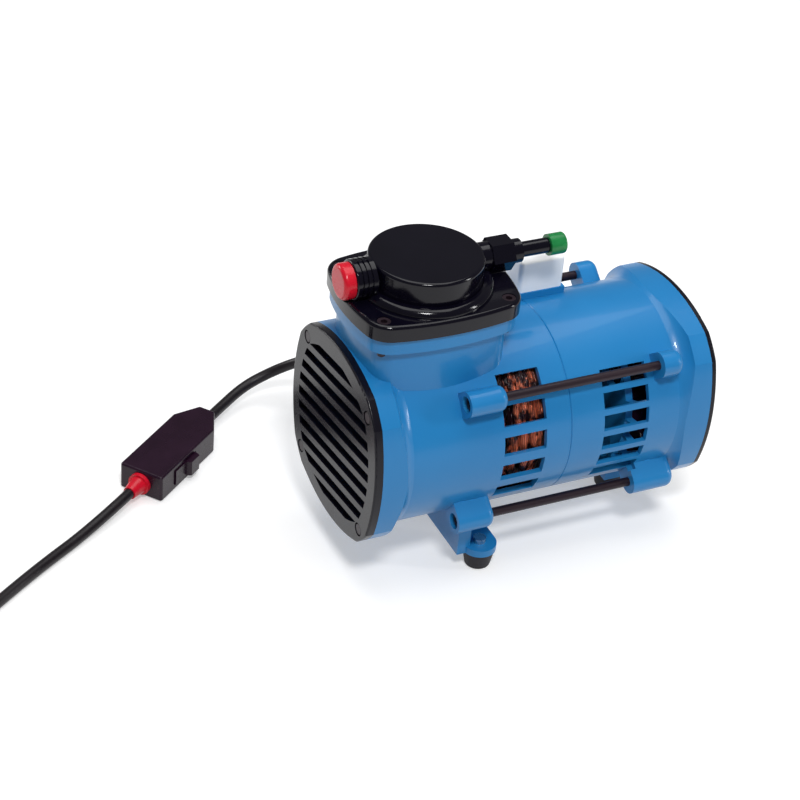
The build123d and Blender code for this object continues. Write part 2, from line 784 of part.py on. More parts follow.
def make_ports():
    """Grooved inlet collar and stepped outlet nozzle, each with a dust cap."""
    near_end = head_station - inlet_boss_reach
    inlet = bar_x(collar_radius, collar_start, near_end, 0, port_height)
    inlet = fillet(inlet.edges().sort_by(Axis.X)[0], collar_groove_depth)
    first_groove = (collar_start + near_end - collar_groove_pitch * (collar_groove_count - 1)) / 2
    for i in range(collar_groove_count):
        start = first_groove + i * collar_groove_pitch - collar_groove_width / 2
        end = start + collar_groove_width
        groove = bar_x(collar_radius + 1, start, end, 0, port_height)
        inlet -= groove - bar_x(collar_radius - collar_groove_depth, start, end, 0, port_height)
    inlet += bar_x(spigot_radius, inlet_tip, collar_start, 0, port_height)
    inlet -= bar_x(port_bore, inlet_tip - 1, near_end + 1, 0, port_height)
    keep("inlet_fitting", inlet)
    keep("red_cap", cap(inlet_tip, -1, spigot_radius, red_cap_radius, red_cap_length, red_cap_round))

    hex_start = head_station + outlet_boss_reach
    ring_start = hex_start + outlet_hex_length
    grip_start = ring_start + outlet_ring_length
    grip_end = grip_start + nozzle_length
    nozzle_tip = grip_end + nozzle_tip_length
    outlet = hexagon_x(outlet_hex, hex_start, ring_start, port_height)
    outlet += bar_x(outlet_ring_radius, ring_start, grip_start, 0, port_height)
    outlet += bar_x(nozzle_radius, grip_start, grip_end, 0, port_height)
    outlet += bar_x(nozzle_tip_radius, grip_end, nozzle_tip, 0, port_height)
    outlet -= bar_x(nozzle_bore, hex_start - 1, nozzle_tip + 1, 0, port_height)
    keep("outlet_nozzle", outlet)
    keep("green_cap", cap(nozzle_tip, 1, nozzle_tip_radius, green_cap_radius, green_cap_length, green_cap_round))


def cap(tip, towards, stem_radius, radius, length, edge_round):
    """Dust cap pushed over a round stem whose tip is at the station given."""
    outer_end = tip + towards * cap_roof
    inner_end = outer_end - towards * length
    low, high = sorted((inner_end, outer_end))
    shape = bar_x(radius, low, high, 0, port_height)
    rim = shape.edges().sort_by(Axis.X)[0 if towards < 0 else -1]
    shape = fillet(rim, edge_round)
    low, high = sorted((inner_end - towards, tip + towards * 0.1))
    return shape - bar_x(stem_radius + cap_fit, low, high, 0, port_height)


# ---- crank drive ---------------------------------------------------------------------
def bearing(station, width, outer, bore):
    """Sealed ball bearing: two races, with a shield set back between them on each side."""
    half = width / 2
    ring = bar_x(outer, station - half, station + half) - bar_x(bore, station - half - 1, station + half + 1)
    shield = bar_x(outer - bearing_race, 0, half) - bar_x(bore + bearing_race, 0, half)
    ring -= Pos(station + half - shield_recess, 0, 0) * shield
    return ring - Pos(station - 2 * half + shield_recess, 0, 0) * shield


def make_drive():
    shaft = bar_x(shaft_radius, shaft_front, shaft_rear)
    shaft = chamfer(shaft.edges().group_by(Axis.X)[-1], 0.8)
    keep("shaft", shaft)
    bore = shaft_radius + running_fit
    keep("front_bearing", bearing(front_bearing_station, bearing_width, bearing_outer, bore))
    keep("rear_bearing", bearing(rear_bearing_station, bearing_width, bearing_outer, bore))

    pin_start = head_station - rod_bearing_width / 2 - 0.5
    crank = bar_x(crank_hub_radius, crank_hub_start, crank_hub_end)
    crank -= bar_x(shaft_radius + seat_gap, shaft_front - seat_gap, crank_hub_end + 1)
    crank += bar_x(crank_pin_radius, pin_start, crank_hub_start, 0, eccentricity)
    keep("eccentric", crank)

    weight_end = crank_hub_end - 1.0
    weight = bar_x(counterweight_radius, weight_end - counterweight_thickness, weight_end)
    reach = counterweight_radius + 1
    weight -= box_between((0, -reach, -counterweight_drop), (body_length, reach, reach))
    weight -= bar_x(crank_hub_radius + seat_gap, 0, body_length)
    keep("counterweight", weight)

    keep("rod_bearing", Pos(0, 0, eccentricity) * rod_bearing())
    keep("connecting_rod", connecting_rod())
    clamp = bar_z(clamp_plate_radius, chamber_floor, chamber_floor + clamp_plate_thickness, head_station)
    clamp = chamfer(clamp.edges().sort_by(Axis.Z)[-1], 0.6)
    clamp -= bar_z(clamp_stud_radius + stud_fit, chamber_floor - 1, chamber_floor + clamp_plate_thickness + 1, head_station)
    head_bottom = chamber_floor + clamp_plate_thickness - clamp_head_height
    sink = Cone(clamp_stud_radius + hole_fit, clamp_head_radius + hole_fit, clamp_head_height, align=FROM_BASE)
    keep("diaphragm_clamp", clamp - Pos(head_station, 0, head_bottom) * sink)
    stud = bar_z(clamp_stud_radius, head_seat - clamp_stud_length, head_bottom, head_station)
    head = Cone(clamp_stud_radius, clamp_head_radius, clamp_head_height, align=FROM_BASE)
    keep("clamp_screw", stud + Pos(head_station, 0, head_bottom) * head)


def rod_bearing():
    start = head_station - rod_bearing_width / 2
    end = head_station + rod_bearing_width / 2
    ring = bar_x(rod_bearing_outer, start, end)
    ring = chamfer(ring.edges(), 0.5)
    return ring - bar_x(crank_pin_radius + running_fit, start - 1, end + 1)


def connecting_rod():
    """Eye round the bearing, ribbed shank and a round table under the diaphragm."""
    start = head_station - rod_width / 2
    end = head_station + rod_width / 2
    table_bottom = head_seat - rod_table_thickness
    rod = bar_x(rod_eye_radius, start, end, 0, eccentricity)
    shank = make_face(Polyline(
        (-rod_shank_width / 2 - rod_flange, eccentricity),
        (-rod_shank_width / 2, table_bottom + 1),
        (rod_shank_width / 2, table_bottom + 1),
        (rod_shank_width / 2 + rod_flange, eccentricity),
        close=True,
    ))
    rod += across(shank, start, end)
    pocket_half = rod_shank_width / 2 - rod_flange
    pocket_bottom = eccentricity + rod_eye_radius + rod_flange
    pocket_top = table_bottom - clamp_stud_length
    for low in (start - 1, end - rod_pocket_depth):
        rod -= box_between((low, -pocket_half, pocket_bottom), (low + rod_pocket_depth + 1, pocket_half, pocket_top))
    rod += bar_z(rod_table_radius, table_bottom, head_seat, head_station)
    rod -= bar_x(rod_bearing_outer + seat_gap, start - 1, end + 1, 0, eccentricity)
    stud_hole = bar_z(clamp_stud_radius + stud_fit, head_seat - clamp_stud_length - 1, head_seat + 1, head_station)
    return rod - stud_hole


# ---- motor ---------------------------------------------------------------------------
def make_motor():
    core = bar_x(cavity_radius - seat_gap, core_start, core_end) - bar_x(core_bore, core_start - 1, core_end + 1)
    keep("stator_core", core)
    keep("front_winding", winding(front_winding_start, core_start))
    keep("rear_winding", winding(rear_winding_end, core_end))
    rotor = bar_x(core_bore - air_gap, core_start, core_end)
    rotor += bar_x(end_ring_radius, core_start - end_ring_length, core_end + end_ring_length)
    keep("rotor", rotor - bar_x(shaft_radius + seat_gap, 0, body_length))
    keep("fan", fan())


def winding(outer_end, core_face):
    """Coil heads: a bulging copper ring pinched between neighbouring coils."""
    span = outer_end - core_face
    middle = (winding_inner + winding_outer) / 2
    section = make_face([
        Line((core_face, winding_inner), (core_face, winding_outer)),
        Line((core_face, winding_outer), (core_face + span * 0.45, winding_outer)),
        ThreePointArc((core_face + span * 0.45, winding_outer), (outer_end, middle),
                      (core_face + span * 0.45, winding_inner)),
        Line((core_face + span * 0.45, winding_inner), (core_face, winding_inner)),
    ])
    ring = revolve(Plane.XZ * section, Axis.X)
    low, high = sorted((outer_end, core_face + span * 0.35))
    for i in range(coil_lobes):
        notch = box_between((low - 1, winding_outer - coil_notch_depth, -coil_notch_width / 2),
                            (high + 1, winding_outer + 1, coil_notch_width / 2))
        ring -= Rot(360 / coil_lobes * (i + 0.5), 0, 0) * notch
    return ring


def fan():
    """Cooling fan on the rear end of the shaft, blades leaning like a propeller's."""
    wheel = bar_x(fan_hub_radius, fan_start, fan_start + fan_length)
    reach = fan_radius - fan_hub_radius + 3
    for i in range(fan_blades):
        blade = Pos(0, 0, fan_hub_radius - 3 + reach / 2) * Box(fan_length * 1.15, fan_blade_thickness, reach)
        blade = Pos(fan_start + fan_length / 2, 0, 0) * Rot(0, 0, fan_blade_twist) * blade
        wheel += Rot(360 / fan_blades * i, 0, 0) * blade
    wheel &= bar_x(fan_radius, fan_start, fan_start + fan_length)
    return wheel - bar_x(shaft_radius + seat_gap, 0, body_length)


# ---- capacitor -----------------------------------------------------------------------
def make_capacitor():
    half = capacitor_width / 2
    low = (capacitor_start, capacitor_side - half, tray_height)
    high = (capacitor_start + capacitor_length, capacitor_side + half, tray_height + capacitor_height)
    body = box_between(low, high)
    body = fillet(body.edges().filter_by(Axis.Z), 3.0)
    keep("capacitor", fillet(body.edges().group_by(Axis.Z)[-1], 2.0))
    tray_half = half + 1.0
    tray_low = (capacitor_start - 1, capacitor_side - tray_half, cavity_radius / 2)
    tray_high = (capacitor_start + capacitor_length + tray_overhang, capacitor_side + tray_half, tray_height)
    tray = box_between(tray_low, tray_high)
    inner_low = (0, capacitor_side - tray_half + tray_sheet, 0)
    inner_high = (body_length, capacitor_side + tray_half - tray_sheet, tray_height - tray_sheet)
    tray -= box_between(inner_low, inner_high)
    keep("capacitor_tray", tray - bar_x(body_radius, 0, body_length))


# ---- supply cord ---------------------------------------------------------------------
# Points along each free stretch of the cord, as (station, sideways, up from the shaft axis).
switch_entry = (-28.5, 145.5)
switch_exit = (-96.0, 92.2)
upper_route = [
    (gland_station, gland_end, gland_height),
    (gland_station, 105, -30.5),
    (57, 125, -37),
    (53, 145, -47.5),
    (44, 162, -60.5),
    (28, 171, -72),
    (8, 170, -79),
]
lower_route = [
    (-150, 57, cord_rest),
    (-176, 41, cord_rest),
    (-200, 25, cord_rest),
    (-224, 8, cord_rest),
    (-247, -7, cord_rest),
]


def cord_tube(name, points):
    """Round cord along straight runs joined by the largest arcs that the runs allow."""
    points = [Vector(*p) for p in points]
    bends = []
    for a, b, c in zip(points, points[1:], points[2:]):
        turn = (b - a).get_angle(c - b)
        bends.append(0.45 * min((b - a).length, (c - b).length) / tan(radians(turn / 2)))
    path = FilletPolyline(*points, radius=bends)
    section = Plane(origin=path @ 0, z_dir=path % 0) * Circle(cord_diameter / 2)
    tube = sweep(section, path=path)
    expected = pi * (cord_diameter / 2) ** 2 * path.length
    print(name, "length", round(path.length, 1), "volume/expected", round(tube.volume / expected, 5),
          "bend radii", [round(r) for r in bends])
    keep(name, tube)


def switch_frame():
    """Middle of the switch on the floor, its x along the cord away from the pump."""
    dx = switch_exit[0] - switch_entry[0]
    dy = switch_exit[1] - switch_entry[1]
    middle = ((switch_exit[0] + switch_entry[0]) / 2, (switch_exit[1] + switch_entry[1]) / 2, floor)
    return Location(middle, (0, 0, degrees(atan2(dy, dx))))


def switch_point(u, v, w):
    return (switch_frame() * Pos(u, v, w)).position


def switch_outline():
    half = switch_length / 2
    side = switch_width / 2
    nose = switch_nose_width / 2
    outline = make_face(Polyline(
        (-half, -nose),
        (-half + switch_nose_length, -side),
        (half, -side),
        (half, side),
        (-half + switch_nose_length, side),
        (-half, nose),
        close=True,
    ))
    return fillet(outline.vertices(), switch_corner_round)


def along_switch(radius, start, end, tip_radius=None):
    """Round bar or cone on the switch's own axis, from start to end along the cord."""
    solid = Cylinder(radius, end - start, align=FROM_BASE)
    if tip_radius is not None:
        solid = Cone(radius, tip_radius, end - start, align=FROM_BASE)
    return Pos(start, 0, switch_height / 2) * Rot(0, 90, 0) * solid


def make_switch():
    half = switch_length / 2
    frame = switch_frame()
    side = switch_width / 2
    top = switch_height - rocker_wall
    end = rocker_length / 2 + rocker_end_gap
    pivot = Pos(-rocker_offset, side - rocker_thickness / 2, 0)
    notch = box_between(
        (-end - rocker_offset, side - rocker_thickness - rocker_back_room, rocker_wall),
        (end - rocker_offset, switch_width, top),
    )
    axle_hole = pivot * bar_z(rocker_axle + running_fit, rocker_wall / 2 - 0.1, top + rocker_wall / 2 + 0.1)
    room = notch + axle_hole + along_switch(relief_radius, half - relief_grip, half + 1)
    split = switch_height / 2
    lower = extrude(switch_outline(), split)
    lower = fillet(lower.edges().group_by(Axis.Z)[0], switch_edge)
    upper = Pos(0, 0, split) * extrude(switch_outline(), switch_height - split)
    upper = fillet(upper.edges().group_by(Axis.Z)[-1], switch_edge)
    keep("switch_base", frame * (lower - room))
    keep("switch_cover", frame * (upper - room))
    keep("switch_rocker", frame * rocker(side, top, pivot))

    relief = along_switch(relief_radius, half - relief_grip, half + relief_flange)
    relief_end = half - relief_grip + relief_length
    sleeve = along_switch(relief_neck_radius, half + relief_flange, relief_end, cord_diameter / 2 + 0.8)
    keep("switch_relief", frame * (relief + sleeve))


def rocker(side, top, pivot):
    """See-saw button: a flat pad with one raised end, on an upright axle."""
    bottom = rocker_wall + rocker_gap
    height = top - rocker_gap - bottom
    pad = box_between(
        (-rocker_length / 2 - rocker_offset, side - rocker_thickness, bottom),
        (rocker_length / 2 - rocker_offset, side + rocker_lip, bottom + height),
    )
    bulge = Cylinder(rocker_length / 4, height, align=FROM_BASE)
    bulge &= box_between((-rocker_length, -rocker_lip, -1), (rocker_length, rocker_stand_out, height + 1))
    pad += Pos(-rocker_length / 4 - rocker_offset, side, bottom) * bulge
    return pad + pivot * bar_z(rocker_axle, rocker_wall / 2, top + rocker_wall / 2)


def make_gland():
    spin = Rot(-90, 0, 0)
    flange = Cylinder(gland_flange_radius, gland_flange_thickness, align=FROM_BASE)
    stem_length = gland_length - gland_flange_thickness
    stem = Cone(gland_flange_radius - 2, cord_diameter / 2 + 1, stem_length, align=FROM_BASE)
    stem = Pos(0, 0, gland_flange_thickness) * stem
    keep("cord_gland", Pos(gland_station, gland_seat, gland_height) * spin * (flange + stem))


def make_coil():
    """The put-away length as one closed ring, with the tie that holds it."""
    outer = coil_turn_radius + coil_thickness / 2
    inner = coil_turn_radius - coil_thickness / 2
    ring = Cylinder(outer, coil_height, align=FROM_BASE) - Cylinder(inner, coil_height, align=FROM_BASE)
    ring = fillet(ring.edges(), coil_round)
    keep("cord_coil", Pos(*coil_centre, coil_base) * ring)
    band = Pos(coil_turn_radius, 0, coil_height / 2)
    shell = 2 * (tie_room + tie_sheet)
    outside = Box(coil_thickness + shell, tie_width, coil_height + shell)
    inside = Box(coil_thickness + 2 * tie_room, tie_width + 2, coil_height + 2 * tie_room)
    keep("coil_tie", Pos(*coil_centre, coil_base) * Rot(0, 0, 90) * band * (outside - inside))


def make_plug():
    """Two-pin mains plug lying beside the coil, its cable end towards the coil."""
    straight = plug_length - plug_taper
    body = Cylinder(plug_radius, straight, align=FROM_BASE)
    body += Pos(0, 0, straight) * Cone(plug_radius, cord_diameter / 2 + 1, plug_taper, align=FROM_BASE)
    pins = Part()
    for side in sides:
        pin = Cylinder(plug_pin_radius, plug_pin_length, align=FROM_BASE)
        pins += Pos(side * plug_pin_pitch / 2, 0, -plug_pin_length) * pin
    face_y = coil_centre[1] + plug_stand_off + plug_length
    lie = Pos(coil_centre[0] - coil_turn_radius, face_y, floor + plug_radius + 0.1) * Rot(90, 0, 0)
    keep("mains_plug", lie * body)
    keep("plug_pins", lie * pins)


def make_cord():
    make_gland()
    make_switch()
    half = switch_length / 2
    middle = switch_height / 2
    entry = switch_point(-half, 0, middle)
    before = switch_point(-half - cord_lead, 0, middle)
    relief_end = half - relief_grip + relief_length
    leave = switch_point(relief_end, 0, middle)
    after = switch_point(relief_end + cord_lead, 0, middle)
    cord_tube("cord_upper", upper_route + [tuple(before), tuple(entry)])
    cord_tube("cord_lower", [tuple(leave), tuple(after)] + lower_route)
    make_coil()
    make_plug()


make_covers()
make_front_shell()
make_rear_shell()
make_tie_bolts()
make_feet()
make_head()
make_drive()
make_motor()
make_capacitor()
make_cord()

os.makedirs("parts", exist_ok=True)
for part_name, solid in parts.items():
    export_step(place * solid, "parts/" + part_name + ".step")
print("nodes", len(parts), "mid station", round(middle_station, 3))
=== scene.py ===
"""Looks of the diaphragm vacuum pump: finishes, supply cord, small parts, light and camera."""

import json
from math import atan2, cos, pi, radians, sin

import bmesh
import bpy
from mathutils import Matrix, Vector

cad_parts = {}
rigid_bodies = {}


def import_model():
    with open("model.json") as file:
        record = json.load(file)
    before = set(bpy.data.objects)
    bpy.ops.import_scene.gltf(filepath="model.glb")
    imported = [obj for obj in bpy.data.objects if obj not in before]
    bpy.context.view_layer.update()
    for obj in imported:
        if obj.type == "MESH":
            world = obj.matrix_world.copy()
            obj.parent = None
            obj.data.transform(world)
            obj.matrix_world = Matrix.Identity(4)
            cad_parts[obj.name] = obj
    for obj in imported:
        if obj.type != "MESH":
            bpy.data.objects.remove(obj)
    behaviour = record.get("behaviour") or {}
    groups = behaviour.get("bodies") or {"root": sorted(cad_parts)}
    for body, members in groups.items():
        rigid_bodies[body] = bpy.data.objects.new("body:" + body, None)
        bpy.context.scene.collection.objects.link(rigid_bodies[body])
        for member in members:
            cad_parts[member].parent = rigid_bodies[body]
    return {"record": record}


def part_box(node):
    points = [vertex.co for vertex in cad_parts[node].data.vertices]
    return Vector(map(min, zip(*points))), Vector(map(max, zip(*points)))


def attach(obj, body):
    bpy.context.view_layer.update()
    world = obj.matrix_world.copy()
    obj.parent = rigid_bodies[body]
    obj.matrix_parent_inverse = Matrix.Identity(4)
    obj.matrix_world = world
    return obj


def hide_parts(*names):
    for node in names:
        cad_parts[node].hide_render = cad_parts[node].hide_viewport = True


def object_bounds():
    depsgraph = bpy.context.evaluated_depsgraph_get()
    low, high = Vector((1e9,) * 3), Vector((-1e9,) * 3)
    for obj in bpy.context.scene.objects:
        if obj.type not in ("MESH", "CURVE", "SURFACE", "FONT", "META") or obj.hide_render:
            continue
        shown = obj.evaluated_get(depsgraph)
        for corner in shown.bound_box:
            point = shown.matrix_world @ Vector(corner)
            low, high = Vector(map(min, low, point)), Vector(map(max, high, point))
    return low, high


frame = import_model()
cad_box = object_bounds()
mm = 0.001
full_turn = 2 * pi

# ---- places taken from the frame -------------------------------------------------------
shaft_low, shaft_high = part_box("shaft")
axis_height = (shaft_low[2] + shaft_high[2]) / 2
cover_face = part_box("front_cover")[0][0]


def station(x, y, z):
    """A point given from the front cover's face and the shaft axis, in millimetres."""
    return Vector((cover_face + x * mm, y * mm, axis_height + z * mm))


# ---- shader maths ----------------------------------------------------------------------
class Wire:
    """One socket of a finish, with arithmetic that adds its Math nodes."""

    def __init__(self, finish, socket):
        self.finish = finish
        self.socket = socket

    def math(self, operation, *values):
        return self.finish.add("ShaderNodeMath", {"operation": operation}, dict(enumerate(values)))

    def __add__(self, other):
        return self.math("ADD", self, other)

    def __sub__(self, other):
        return self.math("SUBTRACT", self, other)

    def __rsub__(self, other):
        return self.math("SUBTRACT", other, self)

    def __mul__(self, other):
        return self.math("MULTIPLY", self, other)

    __radd__ = __add__
    __rmul__ = __mul__

    def sine(self):
        return self.math("SINE", self)

    def root(self):
        return self.math("SQRT", self)

    def at_least(self, other):
        return self.math("MAXIMUM", self, other)


class Finish:
    """A material that is built up one node at a time."""

    # A Mix node's two colour inputs and its colour output share their names with others.
    mix_first, mix_second, mix_result = 6, 7, 2

    def __init__(self, name):
        self.material = bpy.data.materials.new(name)
        self.material.use_nodes = True
        self.tree = self.material.node_tree
        self.shader = self.tree.nodes["Principled BSDF"]
        self.place = self.add("ShaderNodeTexCoord", {}, {}, "Object")

    def add(self, kind, settings, inputs, output=0):
        """One node of the given type, its settings made first and then its inputs."""
        node = self.tree.nodes.new(kind)
        for key, value in settings.items():
            setattr(node, key, value)
        for key, value in inputs.items():
            if isinstance(value, Wire):
                self.tree.links.new(value.socket, node.inputs[key])
            else:
                node.inputs[key].default_value = value
        return Wire(self, node.outputs[output])

    def noise(self, scale, detail=3.0, roughness=0.5, stretch=(1, 1, 1)):
        """Noise that stays on the piece, its scale given in waves for each metre."""
        place = self.add("ShaderNodeMapping", {}, {"Vector": self.place, "Scale": stretch})
        inputs = {"Vector": place, "Scale": scale, "Detail": detail, "Roughness": roughness}
        return self.add("ShaderNodeTexNoise", {}, inputs)

    def blend(self, factor, first, second):
        """The first colour where the factor is 0, the second where it is 1."""
        inputs = {"Factor": factor, self.mix_first: (*first, 1), self.mix_second: (*second, 1)}
        return self.add("ShaderNodeMix", {"data_type": "RGBA"}, inputs, self.mix_result)

    def along(self, axis):
        """The place along X, Y or Z, in metres."""
        return self.add("ShaderNodeSeparateXYZ", {}, {"Vector": self.place}, axis)

    def bump(self, height, distance, strength=1.0):
        """Raise the surface where the height is 1 by the distance, in metres."""
        inputs = {"Height": height, "Distance": distance, "Strength": strength}
        self.feed("Normal", self.add("ShaderNodeBump", {}, inputs))

    def feed(self, name, value):
        if isinstance(value, Wire):
            self.tree.links.new(value.socket, self.shader.inputs[name])
        else:
            self.shader.inputs[name].default_value = value

    def feed_all(self, **values):
        """Feed sockets named in lower case and give back the finished material."""
        for name, value in values.items():
            self.feed(name.replace("_", " ").title().replace("Ior", "IOR"), value)
        return self.material


# ---- finishes --------------------------------------------------------------------------
def blue_enamel():
    """Sprayed enamel on castings: slight orange peel, a soft cloudiness and rubbed patches."""
    f = Finish("blue_enamel")
    cloud = f.noise(11.0, 3.0)
    f.feed("Base Color", f.blend(cloud, (0.009, 0.165, 0.420), (0.019, 0.222, 0.515)))
    peel = f.noise(420.0, 2.0)
    rubbed = f.noise(26.0, 4.0)
    f.bump(peel, 0.00006, 0.35)
    f.feed_all(coat_weight=0.10 + rubbed * 0.16, coat_roughness=0.04)
    return f.feed_all(roughness=0.24 + rubbed * 0.16, specular_ior_level=0.3)


def black_gloss():
    """Lacquered head castings and ports."""
    f = Finish("black_gloss")
    cloud = f.noise(30.0, 3.0)
    f.feed("Base Color", f.blend(cloud, (0.0012, 0.0010, 0.0038), (0.0032, 0.0026, 0.0076)))
    f.bump(f.noise(700.0, 2.0), 0.00004, 0.3)
    return f.feed_all(roughness=0.08 + f.noise(60.0, 4.0) * 0.1, specular_ior_level=0.3)


def black_satin():
    """Moulded end covers, slightly grained."""
    f = Finish("black_satin")
    grain = f.noise(1600.0, 2.0)
    cloud = f.noise(22.0, 3.0)
    f.feed("Base Color", f.blend(cloud, (0.0026, 0.0022, 0.0058), (0.0058, 0.0050, 0.0100)))
    f.bump(grain, 0.00006, 0.4)
    return f.feed_all(roughness=0.2 + cloud * 0.12, specular_ior_level=0.25)


def oiled_black_steel():
    """Blackened bolts and screws with fine marks along them."""
    f = Finish("oiled_black_steel")
    streak = f.noise(240.0, 3.0, 0.6, (0.05, 1, 1))
    f.feed("Base Color", f.blend(streak, (0.010, 0.006, 0.010), (0.030, 0.016, 0.024)))
    f.bump(streak, 0.00004, 0.5)
    return f.feed_all(roughness=0.28 + streak * 0.2, metallic=0.3, specular_ior_level=0.35)


def bright_steel():
    """Turned and ground steel."""
    f = Finish("bright_steel")
    turning = f.noise(900.0, 3.0, 0.6, (1, 0.1, 0.1))
    f.feed("Base Color", f.blend(turning, (0.50, 0.51, 0.53), (0.70, 0.71, 0.73)))
    f.bump(turning, 0.00003, 0.5)
    return f.feed_all(roughness=0.2 + turning * 0.18, metallic=1.0)


def core_steel():
    """Stacked laminations: fine rings along the shaft."""
    f = Finish("core_steel")
    sheets = (f.along("X") * 9000.0).sine()
    f.feed("Base Color", f.blend(sheets * 0.5 + 0.5, (0.05, 0.05, 0.06), (0.16, 0.16, 0.18)))
    f.bump(sheets, 0.0001, 0.6)
    return f.feed_all(roughness=0.5, metallic=0.8)


def enamelled_copper():
    """Varnished wire wound round the coil heads, with dark patches of painted shade between the copper.
    """
    f = Finish("enamelled_copper")
    x, y, above = f.along("X"), f.along("Y"), f.along("Z") - axis_height
    radius = (y * y + above * above).root()
    wander = f.noise(60.0, 2.0) * 9.0
    wires = (radius * 5200.0 + x * 3200.0 + wander).sine()
    # This noise paints shade: where it is low the copper turns near black, standing in for shade inside
    # the winding.
    painted_shade_noise = f.noise(95.0, 3.0, 0.6)
    spread = {"data_type": "FLOAT", "clamp": True}
    free_of_painted_shade = f.add("ShaderNodeMapRange", spread, {"Value": painted_shade_noise, "From Min": 0.47, "From Max": 0.58})
    shade = (wires * 0.3 + 0.7) * free_of_painted_shade
    # The dark colour is painted shade; the bright one is the copper's own colour.
    f.feed("Base Color", f.blend(shade, (0.016, 0.003, 0.006), (0.93, 0.225, 0.110)))
    f.bump(wires, 0.0004, 0.9)
    return f.feed_all(roughness=0.3 + free_of_painted_shade * 0.1, metallic=0.2 + free_of_painted_shade * 0.3)


def cast_aluminium():
    """Bare cast parts inside the head."""
    f = Finish("cast_aluminium")
    grain = f.noise(900.0, 3.0)
    f.feed("Base Color", f.blend(grain, (0.52, 0.53, 0.55), (0.68, 0.69, 0.71)))
    f.bump(grain, 0.00008, 0.5)
    return f.feed_all(roughness=0.38 + grain * 0.15, metallic=1.0)


def black_rubber():
    """Dull, finely pitted rubber."""
    f = Finish("black_rubber")
    cloud = f.noise(90.0, 4.0)
    f.feed("Base Color", f.blend(cloud, (0.008, 0.007, 0.010), (0.020, 0.016, 0.022)))
    f.bump(f.noise(1400.0, 3.0), 0.0001, 0.5)
    return f.feed_all(roughness=0.5 + cloud * 0.2, specular_ior_level=0.35)


def white_moulding():
    """The capacitor's smooth case."""
    f = Finish("white_moulding")
    cloud = f.noise(40.0, 3.0)
    f.feed("Base Color", f.blend(cloud, (0.86, 0.88, 0.90), (0.91, 0.92, 0.93)))
    f.bump(f.noise(900.0, 2.0), 0.00005, 0.4)
    return f.feed_all(roughness=0.32 + cloud * 0.1)


def red_moulding():
    """Inlet cap and strain relief."""
    f = Finish("red_moulding")
    cloud = f.noise(120.0, 3.0)
    f.feed("Base Color", f.blend(cloud, (0.50, 0.004, 0.016), (0.66, 0.010, 0.030)))
    f.bump(f.noise(900.0, 2.0), 0.00005, 0.4)
    return f.feed_all(roughness=0.2 + cloud * 0.12, specular_ior_level=0.35)


def green_moulding():
    """Outlet cap."""
    f = Finish("green_moulding")
    cloud = f.noise(160.0, 3.0)
    f.feed("Base Color", f.blend(cloud, (0.006, 0.12, 0.030), (0.016, 0.25, 0.065)))
    f.bump(f.noise(900.0, 2.0), 0.00005, 0.4)
    return f.feed_all(roughness=0.2 + cloud * 0.12, specular_ior_level=0.35)


def black_moulding():
    """Switch, plug and gland, black with a touch of plum."""
    f = Finish("black_moulding")
    cloud = f.noise(70.0, 4.0)
    f.feed("Base Color", f.blend(cloud, (0.0095, 0.0022, 0.0085), (0.0210, 0.0050, 0.0185)))
    f.bump(f.noise(1500.0, 3.0), 0.0001, 0.5)
    return f.feed_all(roughness=0.22 + cloud * 0.12, specular_ior_level=0.28)


def cord_jacket():
    """Soft black jacket of the supply cord."""
    f = Finish("cord_jacket")
    cloud = f.noise(80.0, 4.0)
    f.feed("Base Color", f.blend(cloud, (0.0060, 0.0045, 0.0065), (0.0140, 0.0105, 0.0130)))
    f.bump(f.noise(1100.0, 3.0), 0.00012, 0.5)
    return f.feed_all(roughness=0.3 + cloud * 0.2, specular_ior_level=0.3)


finishes = {
    "blue_paint": blue_enamel(),
    "black_cover": black_satin(),
    "black_head": black_gloss(),
    "black_steel": oiled_black_steel(),
    "bright_steel": bright_steel(),
    "core_steel": core_steel(),
    "copper": enamelled_copper(),
    "aluminium": cast_aluminium(),
    "rubber_black": black_rubber(),
    "white_plastic": white_moulding(),
    "red_plastic": red_moulding(),
    "green_plastic": green_moulding(),
    "black_plastic": black_moulding(),
    "cord_jacket": cord_jacket(),
}


def dress_nodes():
    """Give every carried-over node the finish of its own material slot."""
    for entry in frame["record"]["subparts"]:
        node = bpy.data.objects[entry["node"]]
        for slot in node.material_slots:
            slot.link = "OBJECT"
            slot.material = finishes[entry["material_slot"]]


# ---- making pieces ---------------------------------------------------------------------
def mesh_of(shape, name, material):
    """A mesh of the given shape, with its finish."""
    mesh = bpy.data.meshes.new(name)
    shape.to_mesh(mesh)
    shape.free()
    mesh.materials.append(material)
    return mesh


def placed(name, data):
    """An object of the given data in the scene."""
    piece = bpy.data.objects.new(name, data)
    bpy.context.collection.objects.link(piece)
    return piece


# ---- supply cord -----------------------------------------------------------------------
# Routes are in millimetres, as station() takes them.
cord_width = 7.5
cord_diameter = cord_width * mm
floor_level = -93.1
cord_rest = floor_level + cord_width / 2 + 0.1
upper_points = [
    (58, 86, -30),
    (58, 105, -30.5),
    (57, 125, -37),
    (53, 145, -47.5),
    (44, 162, -60.5),
    (28, 171, -72),
    (8, 170, -79),
    (-15.94, 155.41, -83.1),
    (-28.5, 145.5, -83.1),
]
lower_points = [
    (-106.99, 83.53, -83.1),
    (-119.54, 73.61, -83.1),
    (-150, 57, cord_rest),
    (-176, 41, cord_rest),
    (-200, 25, cord_rest),
    (-224, 8, cord_rest),
    (-247, -7, cord_rest),
]
plug_points = [
    (-329.5, 31, floor_level + 12.2),
    (-327, 43, floor_level + 13),
    (-326, 56, floor_level + 13.1),
]
coil_centre = (-285, 21)
coil_radius = 41
turn_points = 12
lay_width, lay_height = 7.9, 7.6
# Each full turn's place in the coil's section: lays out from its middle and up from the floor.
coil_lays = [(0.5, 0), (-0.52, 0.02), (-0.47, 1), (-0.55, 2.0), (0.46, 1.95), (0.52, 1)]
# The last part of a turn crosses over to the next place, where the bundle swells.
crossing_start = 0.62
crossing_swell = 0.25


